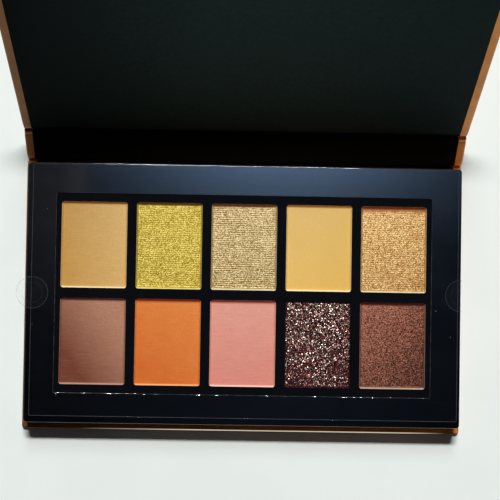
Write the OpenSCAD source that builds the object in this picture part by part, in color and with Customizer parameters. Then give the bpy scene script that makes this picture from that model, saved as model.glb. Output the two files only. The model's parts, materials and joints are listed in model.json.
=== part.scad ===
// Book-style cardboard eyeshadow palette: a paper-wrapped cover of three boards
// folds around a black tray that holds ten pressed powders under a clear film.
// Origin: centre of the underside. +X right, +Y back (towards the folds), +Z up.

/* [Cover] */
// Width of the three cover boards, left to right
cover_w = 145; // [143.5:0.5:160]
// Thickness of the greyboard in the cover
board_t = 1.8; // [1.6:0.1:2.2]
// Thickness of the wrapping paper
paper_t = 0.2; // [0.15:0.05:0.25]
// How far the base board stands out in front of the tray
front_lip = 2.2; // [1.5:0.1:4]
// Width of wrapping paper left showing around the liners
turn_in = 2.6; // [2:0.1:4]
// How far the liners stand proud of the paper around them
liner_proud = 0.1; // [0.05:0.05:0.15]
// Corner radius of the cover boards
cover_r = 0.8; // [0.5:0.1:1.2]

/* [Folds] */
// Distance between the two fold lines, across the spine
spine_len = 15.4; // [15.2:0.1:18]
// Clear paper on each side of a fold line
fold_gap = 2.2; // [2:0.1:2.6]
// Angle of the spine above the table as the palette stands open
spine_angle = 53; // [45:1:60]
// Angle of the lid above the table as the palette stands open
lid_angle = 70; // [65:1:95]

/* [Tray] */
// Outer width of the tray
tray_w = 142; // [141:0.5:142.5]
// Outer depth of the tray
tray_d = 84.6; // [84:0.2:86]
// Height of the tray above the base board
tray_h = 12; // [11.5:0.1:12]
// Corner radius of the tray
tray_r = 1; // [0.8:0.1:1.5]
// Thickness of the tray's side walls
wall_t = 1.8; // [1.5:0.1:2]
// Thickness of the board floor of the tray
floor_t = 1.5; // [1:0.1:2]
// Thickness of the black border panel on top
border_t = 0.4; // [0.3:0.05:0.5]
// Thickness of the pan plate below the border panel
plate_t = 0.5; // [0.4:0.05:0.6]
// Width of the opening in the border panel
opening_w = 122.4; // [121.5:0.1:124]
// Depth of the opening in the border panel
opening_d = 65; // [63.5:0.1:66]
// Corner radius of the border's opening
opening_r = 0.4; // [0.2:0.1:1.5]

/* [Pans] */
// Number of pans from left to right
columns = 5; // [5]
// Number of pans from front to back
rows = 2; // [2]
// Width of the powder window over each pan
window_w = 21.4; // [20:0.1:21.6]
// Depth of the powder window over each pan
window_d = 28.2; // [27:0.1:28.4]
// Distance from pan to pan, left to right
pitch_x = 24.44; // [24.2:0.02:24.6]
// Distance from pan to pan, front to back
pitch_y = 31.4; // [31:0.1:31.8]
// Corner radius of the windows
window_r = 0.8; // [0.5:0.1:1.5]
// Height of a pan
pan_h = 4; // [3:0.1:5]
// Wall and floor thickness of a pan
pan_t = 0.35; // [0.25:0.05:0.5]
// How far the pressed powder lies below the pan's rim
powder_drop = 0.1; // [0.05:0.05:0.3]

/* [Film and seals] */
// Thickness of the clear film over the tray
film_t = 0.15; // [0.1:0.05:0.2]
// Distance the film keeps from the left, right, front and back edges of the tray
film_inset = [2, 1, 2.2, 0.5]; // [0.5:0.1:3]
// Diameter of the round seals
seal_d = 10.4; // [8:0.1:12]
// Thickness of the seals
seal_t = 0.1; // [0.05:0.05:0.15]

/* [Magnets] */
// Diameter of the four closing magnets
magnet_d = 8; // [6:0.5:8]
// Thickness of the magnets in the lid
lid_magnet_t = 1.2; // [1:0.1:1.4]
// Thickness of the magnets in the tray
tray_magnet_t = 2; // [1.5:0.1:3]
// Distance of each magnet from the middle of the palette
magnet_x = 50; // [40:1:60]

/* [Hidden] */
$fn = 64;
eps = 0.05;

// Cover: every board with its paper is one package, centred on the fold lines
pack_t = board_t + 2 * paper_t;
fold_z = pack_t / 2;
fold_y = tray_d / 2 + fold_gap;
base_front = -tray_d / 2 - front_lip;
base_len = tray_d + front_lip;
spine_board_len = spine_len - 2 * fold_gap;
lid_len = base_len;
fold_rod_d = 1.2;
fold_web_t = 2 * paper_t;

// Tray levels, from the base board up
tray_z = pack_t;
tray_top = tray_z + tray_h;
plate_top = tray_top - border_t;
rim_z = plate_top - plate_t;
skin_w = tray_w - 2 * paper_t;
skin_d = tray_d - 2 * paper_t;
core_w = skin_w - 2 * wall_t;
core_d = skin_d - 2 * wall_t;
border_inset = 0.1;

// Pans: the rim is a little larger than the window above it
rim_lap = 0.4;
pan_w = window_w + 2 * rim_lap;
pan_d = window_d + 2 * rim_lap;
pan_r = window_r + rim_lap;
pocket_gap = 0.2;
adhesive_t = 0.2;
adhesive_w = 16;
adhesive_d = 22;

// Film and seals
film_gap = 0.02;
film_z = tray_top + film_gap;
film_w = tray_w - film_inset[0] - film_inset[1];
film_d = tray_d - film_inset[2] - film_inset[3];
film_x = (film_inset[0] - film_inset[1]) / 2;
film_y = (film_inset[2] - film_inset[3]) / 2;
film_r = 0.4;
seal_z = film_z + film_t;
left_seal_x = -tray_w / 2 + 2.35;
left_seal_y = -0.2;
right_seal_y = 0.9;

// Magnets: the lid's and the tray's meet when the palette is closed
magnet_y = -35.4;
magnet_reach = fold_y - magnet_y;

black = [0.06, 0.06, 0.07];
copper = [0.55, 0.33, 0.18];
greyboard = [0.6, 0.58, 0.55];
tan_shade = [0.80, 0.65, 0.41];
chartreuse_shade = [0.80, 0.73, 0.24];
champagne_shade = [0.76, 0.65, 0.41];
honey_shade = [0.90, 0.75, 0.41];
bronze_shade = [0.78, 0.59, 0.33];
rosewood_shade = [0.61, 0.39, 0.31];
orange_shade = [0.84, 0.47, 0.22];
coral_shade = [0.86, 0.57, 0.51];
burgundy_shade = [0.27, 0.12, 0.12];
cocoa_shade = [0.47, 0.27, 0.22];

// A flat rectangle with rounded corners, centred on the origin
module rounded_rect(w, d, r) {
    square([w - 2 * r, d], center = true);
    square([w, d - 2 * r], center = true);
    for (x = [-1, 1], y = [-1, 1])
        translate([x * (w / 2 - r), y * (d / 2 - r)])
            circle(r);
}

// A rounded plate whose underside is at z = 0
module plate(w, d, t, r) {
    linear_extrude(t)
        rounded_rect(w, d, r);
}

// Places its children on pan number i, counted from the back left
module at_pan(i) {
    column = i % columns;
    row = floor(i / columns);
    translate([(column - (columns - 1) / 2) * pitch_x, ((rows - 1) / 2 - row) * pitch_y, 0])
        children();
}

// Moves flat-lying children, drawn outward from a fold along +Y, to the spine or lid
module on_spine() {
    translate([0, fold_y, fold_z])
        rotate([spine_angle, 0, 0])
            translate([0, 0, -fold_z])
                children();
}

module on_lid() {
    translate([0, fold_y, fold_z])
        rotate([spine_angle, 0, 0])
            translate([0, spine_len, 0])
                rotate([lid_angle - spine_angle, 0, 0])
                    translate([0, 0, -fold_z])
                        children();
}

// Greyboard of one cover panel, inside its paper
module board(len) {
    translate([0, len / 2, paper_t])
        plate(cover_w - 2 * paper_t, len - 2 * paper_t, board_t, cover_r);
}

// Paper around one cover panel: sheet below, four edges, narrow turn-in on top
module wrap(len, front_margin, back_margin) {
    difference() {
        translate([0, len / 2, 0])
            plate(cover_w, len, pack_t, cover_r + paper_t);
        board(len);
        liner_hole(len, front_margin, back_margin, 2 * paper_t);
    }
}

// The space inside the turn-in
module liner_hole(len, front_margin, back_margin, t) {
    translate([-(cover_w - 2 * turn_in) / 2, front_margin, paper_t + board_t])
        cube([cover_w - 2 * turn_in, len - front_margin - back_margin, t]);
}

// Liner paper laid inside the turn-in
module liner(len, front_margin, back_margin) {
    liner_hole(len, front_margin, back_margin, paper_t + liner_proud);
}

// Crease of a fold: a bead on the fold line with a web back to the panel
module fold_crease() {
    rotate([0, 90, 0])
        cylinder(d = fold_rod_d, h = cover_w - 1, center = true);
    translate([-(cover_w - 1) / 2, -fold_gap, -fold_web_t / 2])
        cube([cover_w - 1, fold_gap, fold_web_t]);
}

module base_board() {
    color(greyboard)
        translate([0, base_front, 0])
            board(base_len);
}

module base_wrap() {
    color(copper)
        translate([0, base_front, 0])
            wrap(base_len, 2 * turn_in, paper_t);
}

// Fills the wrap's turn-in under the tray, level with the paper
module base_liner() {
    color(black)
        translate([0, base_front, 0])
            liner_hole(base_len, 2 * turn_in, paper_t, paper_t);
}

module lower_fold() {
    color(copper)
        translate([0, fold_y, fold_z])
            fold_crease();
}

module spine_board() {
    color(greyboard)
        on_spine()
            translate([0, fold_gap, 0])
                board(spine_board_len);
}

module spine_wrap() {
    color(copper)
        on_spine()
            translate([0, fold_gap, 0])
                wrap(spine_board_len, paper_t, paper_t);
}

module spine_liner() {
    color(black)
        on_spine()
            translate([0, fold_gap, 0])
                liner(spine_board_len, paper_t, paper_t);
}

module upper_fold() {
    color(copper)
        on_spine()
            translate([0, spine_len, fold_z])
                fold_crease();
}

// Pocket for one lid magnet, open towards the liner
module lid_magnet_disc(side, t) {
    on_lid()
        translate([side * magnet_x, magnet_reach, paper_t + board_t - lid_magnet_t])
            cylinder(d = magnet_d, h = t);
}

module lid_board() {
    color(greyboard)
        difference() {
            on_lid()
                translate([0, fold_gap, 0])
                    board(lid_len);
            lid_magnet_disc(-1, lid_magnet_t + eps);
            lid_magnet_disc(1, lid_magnet_t + eps);
        }
}

module lid_wrap() {
    color(copper)
        on_lid()
            translate([0, fold_gap, 0])
                wrap(lid_len, paper_t, turn_in);
}

module lid_liner() {
    color(black)
        on_lid()
            translate([0, fold_gap, 0])
                liner(lid_len, paper_t, turn_in);
}

module lid_magnet(side) {
    color("silver")
        lid_magnet_disc(side, lid_magnet_t);
}

module tray_floor() {
    color(greyboard)
        translate([0, 0, tray_z])
            plate(core_w, core_d, floor_t, tray_r);
}

module tray_walls() {
    color(greyboard)
        translate([0, 0, tray_z])
            difference() {
                plate(skin_w, skin_d, rim_z - tray_z, tray_r);
                translate([0, 0, -eps])
                    plate(core_w, core_d, tray_h, tray_r);
            }
}

module tray_wrap() {
    color(copper)
        translate([0, 0, tray_z])
            difference() {
                plate(tray_w, tray_d, plate_top - tray_z, tray_r + paper_t);
                translate([0, 0, -eps])
                    plate(skin_w, skin_d, tray_h, tray_r);
            }
}

// Spacer that fills the tray and has one pocket for each pan and magnet
module tray_core() {
    color(black)
        difference() {
            translate([0, 0, tray_z + floor_t])
                plate(core_w, core_d, rim_z - tray_z - floor_t, tray_r);
            for (i = [0 : columns * rows - 1])
                at_pan(i)
                    translate([0, 0, rim_z - pan_h - adhesive_t])
                        plate(pan_w + pocket_gap, pan_d + pocket_gap, tray_h, pan_r);
            for (side = [-1, 1])
                tray_magnet_disc(side, tray_h);
        }
}

module tray_magnet_disc(side, t) {
    translate([side * magnet_x, magnet_y, rim_z - tray_magnet_t])
        cylinder(d = magnet_d, h = t);
}

module tray_magnet(side) {
    color("silver")
        tray_magnet_disc(side, tray_magnet_t);
}

module pan_adhesive() {
    color("white")
        for (i = [0 : columns * rows - 1])
            at_pan(i)
                translate([0, 0, rim_z - pan_h - adhesive_t])
                    plate(adhesive_w, adhesive_d, adhesive_t, window_r);
}

// Card with one rounded window for each pan
module pan_plate() {
    color(black)
        difference() {
            translate([0, 0, rim_z])
                plate(skin_w, skin_d, plate_t, tray_r);
            for (i = [0 : columns * rows - 1])
                at_pan(i)
                    translate([0, 0, rim_z - eps])
                        plate(window_w, window_d, tray_h, window_r);
        }
}

// Glossy border around the whole group of pans
module border_panel() {
    border_cut = 2 * border_inset;
    color(black)
        difference() {
            translate([0, 0, plate_top])
                plate(tray_w - border_cut, tray_d - border_cut, border_t, tray_r);
            translate([0, 0, plate_top - eps])
                plate(opening_w, opening_d, tray_h, opening_r);
        }
}

module pan(i) {
    color("silver")
        at_pan(i)
            translate([0, 0, rim_z - pan_h])
                difference() {
                    plate(pan_w, pan_d, pan_h, pan_r);
                    translate([0, 0, pan_t])
                        plate(pan_w - 2 * pan_t, pan_d - 2 * pan_t, pan_h, pan_r - pan_t);
                }
}

module powder(i, shade) {
    color(shade)
        at_pan(i)
            translate([0, 0, rim_z - pan_h + pan_t])
                plate(pan_w - 2 * pan_t, pan_d - 2 * pan_t, pan_h - pan_t - powder_drop,
                    pan_r - pan_t);
}

module protective_film() {
    color([0.85, 0.92, 1, 0.3])
        translate([film_x, film_y, film_z])
            plate(film_w, film_d, film_t, film_r);
}

// Round seal that lies flat and sticks out past the tray's left edge
module seal_left() {
    color([0.9, 0.9, 0.9, 0.5])
        translate([left_seal_x, left_seal_y, seal_z])
            cylinder(d = seal_d, h = seal_t);
}

// Half of a round seal, on the inner side of its fold line
module half_disc(t) {
    intersection() {
        cylinder(d = seal_d, h = t);
        translate([-seal_d, -seal_d, -eps])
            cube([seal_d, 2 * seal_d, t + 2 * eps]);
    }
}

// Round seal folded down over the tray's right edge
module seal_right() {
    color([0.9, 0.9, 0.9, 0.5])
        translate([tray_w / 2 + eps, right_seal_y, seal_z]) {
            half_disc(seal_t);
            translate([0, 0, seal_t])
                rotate([0, -90, 180])
                    half_disc(seal_t);
        }
}

base_board();
base_wrap();
base_liner();
lower_fold();
spine_board();
spine_wrap();
spine_liner();
upper_fold();
lid_board();
lid_wrap();
lid_liner();
lid_magnet(-1);  // lid_magnet_left
lid_magnet(1);  // lid_magnet_right
tray_floor();
tray_walls();
tray_wrap();
tray_core();
tray_magnet(-1);  // tray_magnet_left
tray_magnet(1);  // tray_magnet_right
pan_adhesive();
pan_plate();
border_panel();
pan(0);  // pan_1
pan(1);  // pan_2
pan(2);  // pan_3
pan(3);  // pan_4
pan(4);  // pan_5
pan(5);  // pan_6
pan(6);  // pan_7
pan(7);  // pan_8
pan(8);  // pan_9
pan(9);  // pan_10
powder(0, tan_shade);  // powder_1_tan
powder(1, chartreuse_shade);  // powder_2_chartreuse
powder(2, champagne_shade);  // powder_3_champagne
powder(3, honey_shade);  // powder_4_honey
powder(4, bronze_shade);  // powder_5_bronze
powder(5, rosewood_shade);  // powder_6_rosewood
powder(6, orange_shade);  // powder_7_orange
powder(7, coral_shade);  // powder_8_coral
powder(8, burgundy_shade);  // powder_9_burgundy_glitter
powder(9, cocoa_shade);  // powder_10_cocoa
protective_film();
seal_left();
seal_right();
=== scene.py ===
"""Looks of the eyeshadow palette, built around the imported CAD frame."""

import json
import math
import random

import bmesh
import bpy
from mathutils import Matrix, Vector, noise


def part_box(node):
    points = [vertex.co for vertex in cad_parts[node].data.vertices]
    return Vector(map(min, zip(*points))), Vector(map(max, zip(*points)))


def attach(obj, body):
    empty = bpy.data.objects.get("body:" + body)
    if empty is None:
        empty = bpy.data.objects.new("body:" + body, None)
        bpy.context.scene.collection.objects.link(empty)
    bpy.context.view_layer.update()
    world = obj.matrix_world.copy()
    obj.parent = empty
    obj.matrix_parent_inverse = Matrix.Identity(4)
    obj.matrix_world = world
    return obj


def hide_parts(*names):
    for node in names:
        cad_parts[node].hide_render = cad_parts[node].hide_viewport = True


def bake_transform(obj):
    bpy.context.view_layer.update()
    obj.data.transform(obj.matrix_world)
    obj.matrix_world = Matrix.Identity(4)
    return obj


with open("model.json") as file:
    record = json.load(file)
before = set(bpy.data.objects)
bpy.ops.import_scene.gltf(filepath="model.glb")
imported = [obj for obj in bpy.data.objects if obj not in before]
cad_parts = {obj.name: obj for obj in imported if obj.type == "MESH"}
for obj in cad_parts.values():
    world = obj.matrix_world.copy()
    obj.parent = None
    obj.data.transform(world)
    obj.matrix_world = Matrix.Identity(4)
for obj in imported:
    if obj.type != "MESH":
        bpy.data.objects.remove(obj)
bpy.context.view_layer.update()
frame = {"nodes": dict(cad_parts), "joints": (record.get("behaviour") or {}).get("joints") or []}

MM = 0.001
ARC_STEPS = 8
JOINTS = {joint["name"]: joint for joint in frame["joints"]}


# ---------------------------------------------------------------- measures taken from the frame

def size_of(node):
    low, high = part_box(node)
    return high - low


def centre_of(node):
    low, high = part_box(node)
    return (low + high) / 2


LOWER_FOLD = Vector(JOINTS["spine_fold"]["pos_m"])
UPPER_FOLD = Vector(JOINTS["lid_fold"]["pos_m"])
SPINE_SPAN = UPPER_FOLD - LOWER_FOLD
SPINE_ANGLE = math.atan2(SPINE_SPAN.z, SPINE_SPAN.y)
LID_BEND = math.radians(90 - JOINTS["lid_fold"]["range_deg"][1])
LID_ANGLE = SPINE_ANGLE + LID_BEND

# Flat boards are drawn with a fold line as their X axis, Y away from it and Z towards the liner
ON_BASE = Matrix.Translation(LOWER_FOLD)
ON_SPINE = ON_BASE @ Matrix.Rotation(SPINE_ANGLE, 4, "X")
ON_LID = Matrix.Translation(UPPER_FOLD) @ Matrix.Rotation(LID_ANGLE, 4, "X")

COVER_W = size_of("base_wrap").x
COVER_T = size_of("base_wrap").z
COVER_CORNER = 1.0 * MM
BASE_LEN = size_of("base_wrap").y
FOLD_GAP = LOWER_FOLD.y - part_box("base_wrap")[1].y
LINER_W = size_of("lid_liner").x
TURN_IN = (COVER_W - LINER_W) / 2

TRAY_LOW, TRAY_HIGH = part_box("tray_wrap")
BORDER_LOW, BORDER_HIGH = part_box("border_panel")
PLATE_LOW, PLATE_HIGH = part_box("pan_plate")
FILM_LOW, FILM_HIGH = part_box("protective_film")

# The border's opening and the windows follow the design's own sizes
OPENING = Vector((122.4, 65.0)) * MM
WINDOW = Vector((21.4, 28.2)) * MM
WINDOW_CORNER = 0.8 * MM
OPENING_CORNER = 0.4 * MM
TRAY_CORNER = 1.2 * MM
CARD_CORNER = 1.0 * MM


# ---------------------------------------------------------------- mesh helpers

def add_object(name, mesh, material, body, replaced=(), slot=None):
    """Links a finished mesh as a piece that rides on a body and stands for CAD nodes."""
    piece = bpy.data.objects.new(name, mesh)
    bpy.context.scene.collection.objects.link(piece)
    mesh.materials.clear()
    mesh.materials.append(material)
    if body:
        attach(piece, body)
    if replaced:
        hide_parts(*replaced)
    return piece


def smooth_by_angle(mesh, degrees=35):
    """Smooth shading that keeps the edges sharper than the angle."""
    mesh.polygons.foreach_set("use_smooth", [True] * len(mesh.polygons))
    mesh.set_sharp_from_angle(angle=math.radians(degrees))
    mesh.update()


def mesh_from(name, vertices, faces):
    mesh = bpy.data.meshes.new(name)
    mesh.from_pydata([tuple(v) for v in vertices], [], faces)
    mesh.validate()
    edit = bmesh.new()
    edit.from_mesh(mesh)
    bmesh.ops.recalc_face_normals(edit, faces=edit.faces)
    edit.to_mesh(mesh)
    edit.free()
    return mesh


def rounded_outline(x0, x1, y0, y1, r, steps=ARC_STEPS):
    """Points round a rectangle with round corners, counter-clockwise."""
    points = []
    corners = ((x1 - r, y0 + r, -90), (x1 - r, y1 - r, 0), (x0 + r, y1 - r, 90), (x0 + r, y0 + r, 180))
    for cx, cy, start in corners:
        for k in range(steps + 1):
            a = math.radians(start + 90 * k / steps)
            points.append((cx + r * math.cos(a), cy + r * math.sin(a)))
    return points


def centred_outline(size, r, centre=(0, 0), inset=0.0):
    half_x, half_y = size[0] / 2 - inset, size[1] / 2 - inset
    return rounded_outline(centre[0] - half_x, centre[0] + half_x, centre[1] - half_y, centre[1] + half_y,
                           max(r - inset, 0.05 * MM))


def card_mesh(name, outlines, z0, z1, bevel, bevel_steps=3):
    """A flat card with rounded edges: the first outline is its rim, the others are windows."""
    curve = bpy.data.curves.new(name, "CURVE")
    curve.dimensions = "2D"
    curve.fill_mode = "BOTH"
    curve.extrude = (z1 - z0) / 2 - bevel
    curve.bevel_depth = bevel
    curve.bevel_resolution = bevel_steps
    curve.offset = -bevel
    for outline in outlines:
        spline = curve.splines.new("POLY")
        spline.points.add(len(outline) - 1)
        for point, (x, y) in zip(spline.points, outline):
            point.co = (x, y, 0, 1)
        spline.use_cyclic_u = True
    drawn = bpy.data.objects.new(name, curve)
    bpy.context.scene.collection.objects.link(drawn)
    bpy.context.view_layer.update()
    mesh = bpy.data.meshes.new_from_object(drawn.evaluated_get(bpy.context.evaluated_depsgraph_get()))
    bpy.data.objects.remove(drawn)
    bpy.data.curves.remove(curve)
    mesh.transform(Matrix.Translation((0, 0, (z0 + z1) / 2)))
    edit = bmesh.new()
    edit.from_mesh(mesh)
    bmesh.ops.remove_doubles(edit, verts=edit.verts, dist=1e-7)
    bmesh.ops.recalc_face_normals(edit, faces=edit.faces)
    flat_rims = [edge.index for edge in edit.edges
                 if any(abs(face.normal.z) > 0.999 for face in edge.link_faces)]
    edit.to_mesh(mesh)
    edit.free()
    smooth_by_angle(mesh)
    for index in flat_rims:
        mesh.edges[index].use_edge_sharp = True
    return mesh


def loop_stack_mesh(name, loops, closed=False):
    """A skin through loops of equal length; closed joins the last loop to the first, else both are capped."""
    n = len(loops[0])
    vertices = [v for loop in loops for v in loop]
    faces = []
    last = len(loops) if closed else len(loops) - 1
    for k in range(last):
        a, b = k * n, ((k + 1) % len(loops)) * n
        faces += [(a + i, a + (i + 1) % n, b + (i + 1) % n, b + i) for i in range(n)]
    if not closed:
        faces += [tuple(range(n)), tuple(range((len(loops) - 1) * n, len(loops) * n))]
    mesh = mesh_from(name, vertices, faces)
    smooth_by_angle(mesh)
    return mesh


def strip_solid(name, stations, soft):
    """A closed strip: each station gives the bottom and top of its section and its half width."""
    shares = ((0.0, 0.3), (0.3, 0.8), (1.0, 1.0))
    vertices, faces = [], []
    for bottom, top, half_width in stations:
        middle = (bottom + top) / 2
        across = [(half_width - soft * inward, share) for inward, share in shares]
        across += [(half_width * part, 1.0) for part in (0.6, 0.2)]
        across = [(-x, share) for x, share in across] + [(x, share) for x, share in reversed(across)]
        for x, share in across:
            for point in (bottom, top):
                placed = middle + (point - middle) * share
                vertices.append((x, placed.y, placed.z))
    rows, cols = len(stations), len(across)

    def at(row, col, side):
        return (row * cols + col) * 2 + side

    for row in range(rows - 1):
        for col in range(cols - 1):
            for side in (0, 1):
                faces.append((at(row, col, side), at(row, col + 1, side),
                              at(row + 1, col + 1, side), at(row + 1, col, side)))
        for col in (0, cols - 1):
            faces.append((at(row, col, 0), at(row + 1, col, 0), at(row + 1, col, 1), at(row, col, 1)))
    for row in (0, rows - 1):
        for col in range(cols - 1):
            faces.append((at(row, col, 0), at(row, col + 1, 0), at(row, col + 1, 1), at(row, col, 1)))
    mesh = mesh_from(name, vertices, faces)
    smooth_by_angle(mesh, 60)
    return mesh


def smoothstep(low, high, value):
    t = min(max((value - low) / (high - low), 0), 1)
    return t * t * (3 - 2 * t)


# ---------------------------------------------------------------- material helpers

class Nodes:
    """A short way to add and join the nodes of one node tree."""

    def __init__(self, tree):
        self.tree = tree

    def link(self, source, target):
        self.tree.links.new(source, target)

    def fill(self, socket, value):
        """Links a socket to an output, or sets it to a number or a colour."""
        if hasattr(value, "is_output"):
            self.link(value, socket)
        elif isinstance(value, tuple) and socket.type == "RGBA":
            socket.default_value = (*value, 1)
        else:
            socket.default_value = value

    def feed(self, node, **inputs):
        for key, value in inputs.items():
            self.fill(node.inputs[key], value)
        return node

    def axes(self, vector):
        """The X, Y and Z outputs of a vector."""
        node = self.tree.nodes.new("ShaderNodeSeparateXYZ")
        self.link(vector, node.inputs[0])
        return node.outputs

    def math(self, operation, a, b=0.0):
        node = self.tree.nodes.new("ShaderNodeMath")
        node.operation = operation
        for socket, value in zip(node.inputs, (a, b)):
            self.fill(socket, value)
        return node.outputs[0]

    def times(self, a, b):
        return self.math("MULTIPLY", a, b)

    def plus(self, a, b):
        return self.math("ADD", a, b)

    def ramp(self, value, *stops):
        """stops are (position, colour) or (position, number)."""
        node = self.tree.nodes.new("ShaderNodeValToRGB")
        elements = node.color_ramp.elements
        while len(elements) < len(stops):
            elements.new(0.5)
        for element, (position, color) in zip(elements, stops):
            element.position = position
            element.color = (*color, 1) if isinstance(color, tuple) else (color, color, color, 1)
        self.link(value, node.inputs["Fac"])
        return node.outputs["Color"]

    def mix(self, factor, a, b, blend="MIX"):
        node = self.tree.nodes.new("ShaderNodeMix")
        node.data_type = "RGBA"
        node.blend_type = blend
        for index, value in ((0, factor), (6, a), (7, b)):
            self.fill(node.inputs[index], value)
        return node.outputs[2]

    def product(self, first, *others):
        """Colours multiplied together."""
        for other in others:
            first = self.mix(1.0, first, other, "MULTIPLY")
        return first


class Shader(Nodes):
    """A node material round one Principled shader."""

    def __init__(self, name):
        self.material = bpy.data.materials.new(name)
        self.material.use_nodes = True
        super().__init__(self.material.node_tree)
        self.tree.nodes.clear()
        output = self.tree.nodes.new("ShaderNodeOutputMaterial")
        self.main = self.tree.nodes.new("ShaderNodeBsdfPrincipled")
        self.link(self.main.outputs["BSDF"], output.inputs["Surface"])
        self.place = self.tree.nodes.new("ShaderNodeTexCoord").outputs["Object"]

    def set(self, **values):
        for key, value in values.items():
            self.fill(self.main.inputs[key.replace("_", " ").title().replace("Ior", "IOR")], value)
        return self

    def stretched(self, scale):
        mapping = self.tree.nodes.new("ShaderNodeMapping")
        self.feed(mapping, Vector=self.place, Scale=scale)
        return mapping.outputs["Vector"]

    def noise(self, scale, detail=3.0, rough=0.55, stretch=None):
        node = self.tree.nodes.new("ShaderNodeTexNoise")
        vector = self.stretched(stretch) if stretch else self.place
        self.feed(node, Vector=vector, Scale=scale, Detail=detail, Roughness=rough)
        return node.outputs["Fac"]

    def cells(self, scale, output="Color", stretch=None):
        node = self.tree.nodes.new("ShaderNodeTexVoronoi")
        vector = self.stretched(stretch) if stretch else self.place
        self.feed(node, Vector=vector, Scale=scale)
        return node.outputs[output]

    def dust(self, scale, channel, size):
        """Scattered specks: 1 in the middle of a few cells, and 0 elsewhere."""
        pick = self.split(self.cells(scale), channel)
        speck = self.ramp(self.cells(scale, "Distance"), (0.04, 1.0), (size, 0.0))
        return self.times(speck, self.ramp(pick, (0.955, 0.0), (0.97, 1.0)))

    def across(self, *stops):
        """A brightness that changes from the left of the palette to its right."""
        share = self.plus(self.math("DIVIDE", self.axes(self.place)["X"], COVER_W), 0.5)
        return self.ramp(share, *stops)

    def rows(self, pitch):
        """A wave from -1 to 1 along Y whose crests wander a little."""
        turns = self.times(self.axes(self.place)["Y"], math.tau / pitch)
        wander = self.times(self.noise(220, 3, 0.6), 5.0)
        return self.math("SINE", self.plus(turns, wander))

    def split(self, color, channel="Red"):
        node = self.tree.nodes.new("ShaderNodeSeparateColor")
        self.link(color, node.inputs["Color"])
        return node.outputs[channel]

    def attribute(self, name):
        node = self.tree.nodes.new("ShaderNodeAttribute")
        node.attribute_name = name
        return node.outputs["Fac"]

    def bump(self, height, distance, strength=1.0, normal=None):
        node = self.tree.nodes.new("ShaderNodeBump")
        self.feed(node, Height=height, Distance=distance, Strength=strength)
        if normal is not None:
            self.link(normal, node.inputs["Normal"])
        return node.outputs["Normal"]


def paper_fibres(shader, fine=2600, coarse=420):
    """Height of soft paper grain with longer fibres across it."""
    grain = shader.noise(fine, 4, 0.6)
    fibres = shader.noise(coarse, 3, 0.5, stretch=(0.35, 1.0, 1.0))
    return shader.plus(shader.times(grain, 0.6), shader.times(fibres, 0.4))


def copper_paper():
    s = Shader("copper_paper")
    tone = s.noise(90, 4, 0.6)
    fleck = s.noise(1500, 3, 0.6)
    base = s.ramp(tone, (0.3, (0.60, 0.215, 0.045)), (0.7, (0.84, 0.33, 0.08)))
    lit = s.mix(s.ramp(fleck, (0.5, 0.0), (0.75, 0.45)), base, (0.98, 0.52, 0.19))
    # Painted shade and light: the copper is made darker towards the palette's left and brighter towards its
    # right
    lit = s.product(lit, s.across((0.0, 0.32), (0.5, 0.72), (1.0, 1.0)))
    s.set(base_color=lit, metallic=0.55, roughness=s.ramp(fleck, (0.35, 0.34), (0.75, 0.5)),
          specular_ior_level=0.1, normal=s.bump(paper_fibres(s), 0.00003, 0.6))
    return s.material


def liner_paper(name, tone):
    s = Shader(name)
    shade = s.noise(700, 4, 0.6)
    dark = tuple(0.72 * c for c in tone)
    # Painted shade and sheen: the liner is darkest at the palette's left, brightest across its middle and a
    # little darker at its right
    painted_shade = s.across((0.0, 0.09), (0.42, 1.0), (0.62, 1.0), (1.0, 0.6))
    s.set(base_color=s.product(s.ramp(shade, (0.3, dark), (0.7, tone)), painted_shade),
          roughness=s.ramp(shade, (0.3, 0.6), (0.7, 0.75)), specular_ior_level=0.02,
          normal=s.bump(paper_fibres(s, 1800, 260), 0.00003, 0.6))
    return s.material


def glossy_black():
    s = Shader("glossy_border")
    sag = s.noise(38, 2, 0.45)
    smear = s.noise(160, 4, 0.6, stretch=(0.4, 1.0, 1.0))
    s.set(base_color=s.mix(s.dust(480, "Green", 0.08), (0.0006, 0.0008, 0.0016), (0.20, 0.22, 0.24)),
          roughness=s.ramp(smear, (0.35, 0.05), (0.8, 0.12)), specular_ior_level=1.0,
          coat_weight=1.0, coat_roughness=0.04, normal=s.bump(sag, 0.00002, 0.3))
    return s.material


def plate_black():
    s = Shader("pan_card")
    grain = s.noise(1500, 4, 0.6)
    s.set(base_color=s.mix(s.dust(620, "Blue", 0.1), (0.0014, 0.0018, 0.0032), (0.16, 0.11, 0.07)),
          roughness=s.ramp(grain, (0.3, 0.55), (0.7, 0.7)), specular_ior_level=0.012,
          normal=s.bump(grain, 0.00001, 0.5))
    return s.material


def greyboard():
    s = Shader("greyboard")
    fibre = s.noise(900, 5, 0.65, stretch=(1.0, 0.4, 2.0))
    s.set(base_color=s.ramp(fibre, (0.3, (0.20, 0.185, 0.165)), (0.7, (0.36, 0.34, 0.31))), roughness=0.9,
          normal=s.bump(fibre, 0.00006, 0.8))
    return s.material


def core_foam():
    s = Shader("core_foam")
    pores = s.cells(1500, "Distance")
    s.set(base_color=s.ramp(pores, (0.1, (0.004, 0.004, 0.004)), (0.6, (0.02, 0.02, 0.02))), roughness=0.85,
          normal=s.bump(pores, 0.00008, 0.8))
    return s.material


def metal(name, tone, rough):
    s = Shader(name)
    brushed = s.noise(900, 3, 0.5, stretch=(0.15, 1.0, 1.0))
    s.set(base_color=s.ramp(brushed, (0.3, tuple(0.8 * c for c in tone)), (0.7, tone)), metallic=1.0,
          roughness=s.ramp(brushed, (0.3, rough * 0.8), (0.7, rough * 1.2)),
          normal=s.bump(brushed, 0.00001, 0.4))
    return s.material


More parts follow.
